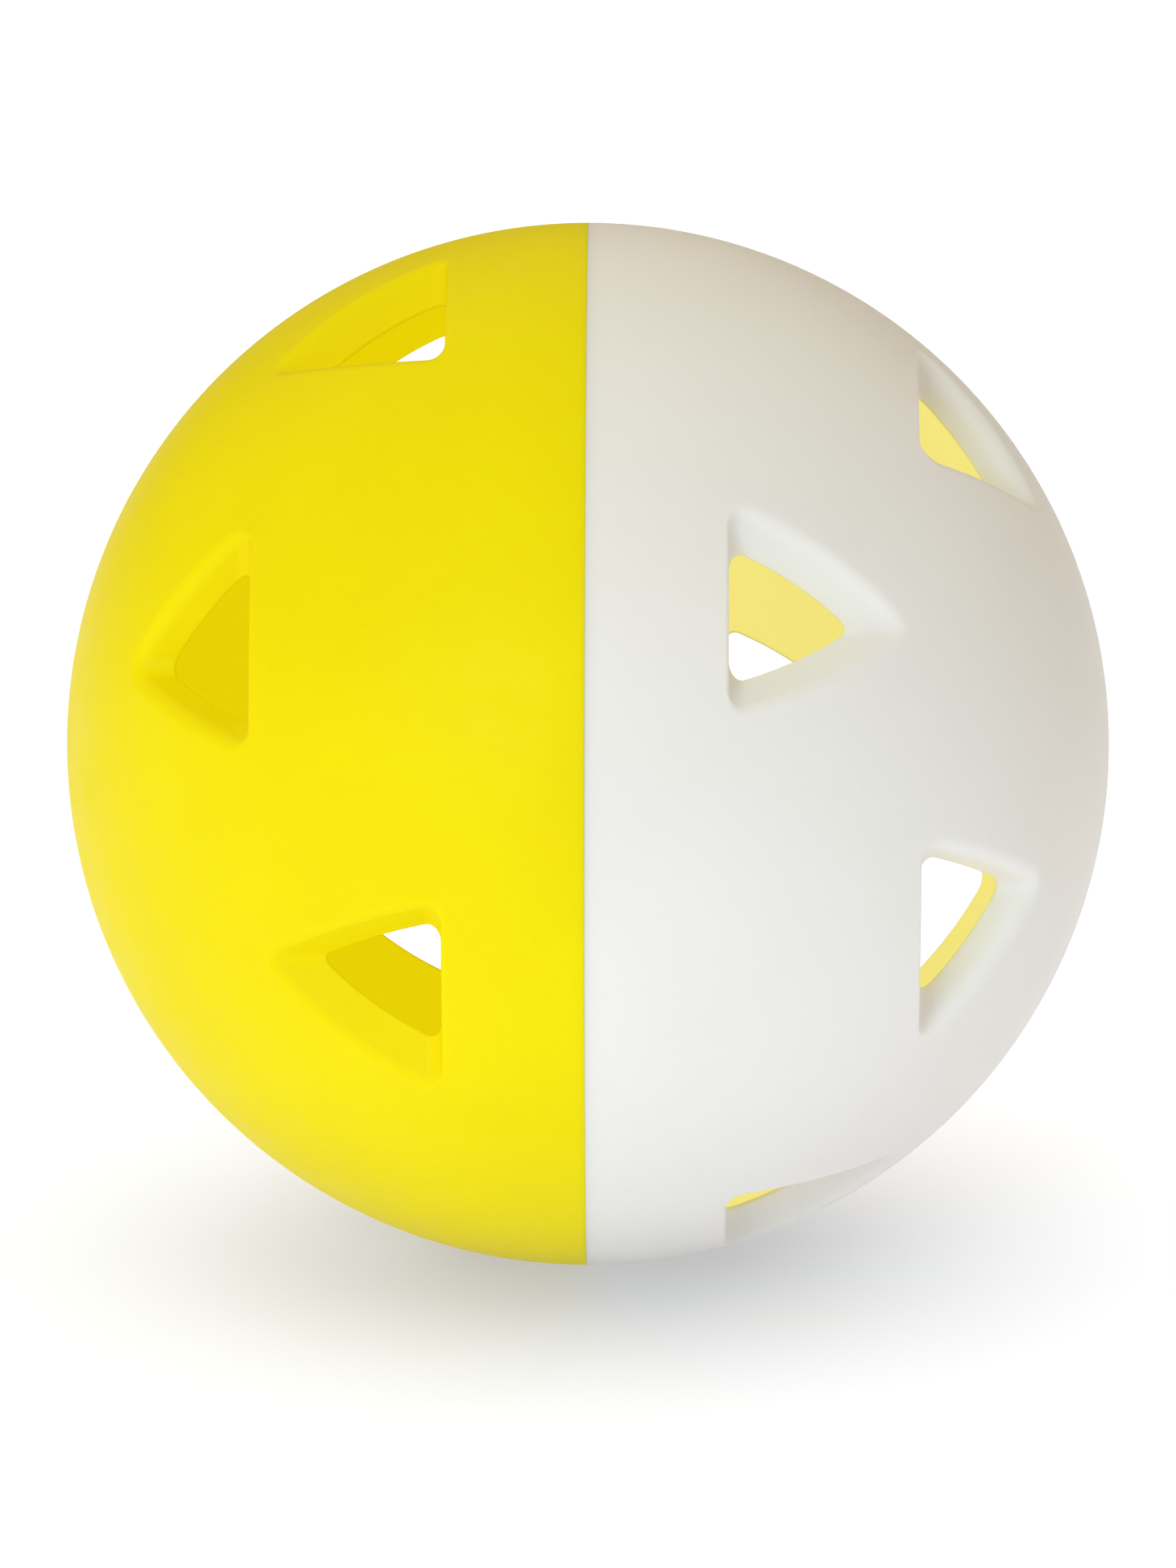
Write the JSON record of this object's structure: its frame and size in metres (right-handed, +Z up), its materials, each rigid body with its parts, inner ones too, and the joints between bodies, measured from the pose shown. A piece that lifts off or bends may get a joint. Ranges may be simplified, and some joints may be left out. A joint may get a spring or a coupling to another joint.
{
  "type": "two-colour vented play ball",
  "caption": "Hollow hard-plastic ball of two welded half shells, one opaque yellow and one translucent white, pierced all round by rounded triangular vents so that it flies slowly",
  "frame": {"origin": "the centre of the ball", "axes": "X is the mould axis through both poles, with the yellow half at -X and the white half at +X; the seam lies in the plane x = 0; +Z is up and -Y is the front"},
  "size_m": [0.074, 0.074, 0.074],
  "materials": {
    "yellow_plastic": "opaque moulded polyethylene, satin with a fine grain",
    "white_plastic": "milky, slightly translucent moulded polyethylene, satin with a fine grain"
  },
  "bodies": {
    "root": {"yellow_half_shell": "yellow_plastic", "white_half_shell": "white_plastic"}
  },
  "joints": []
}
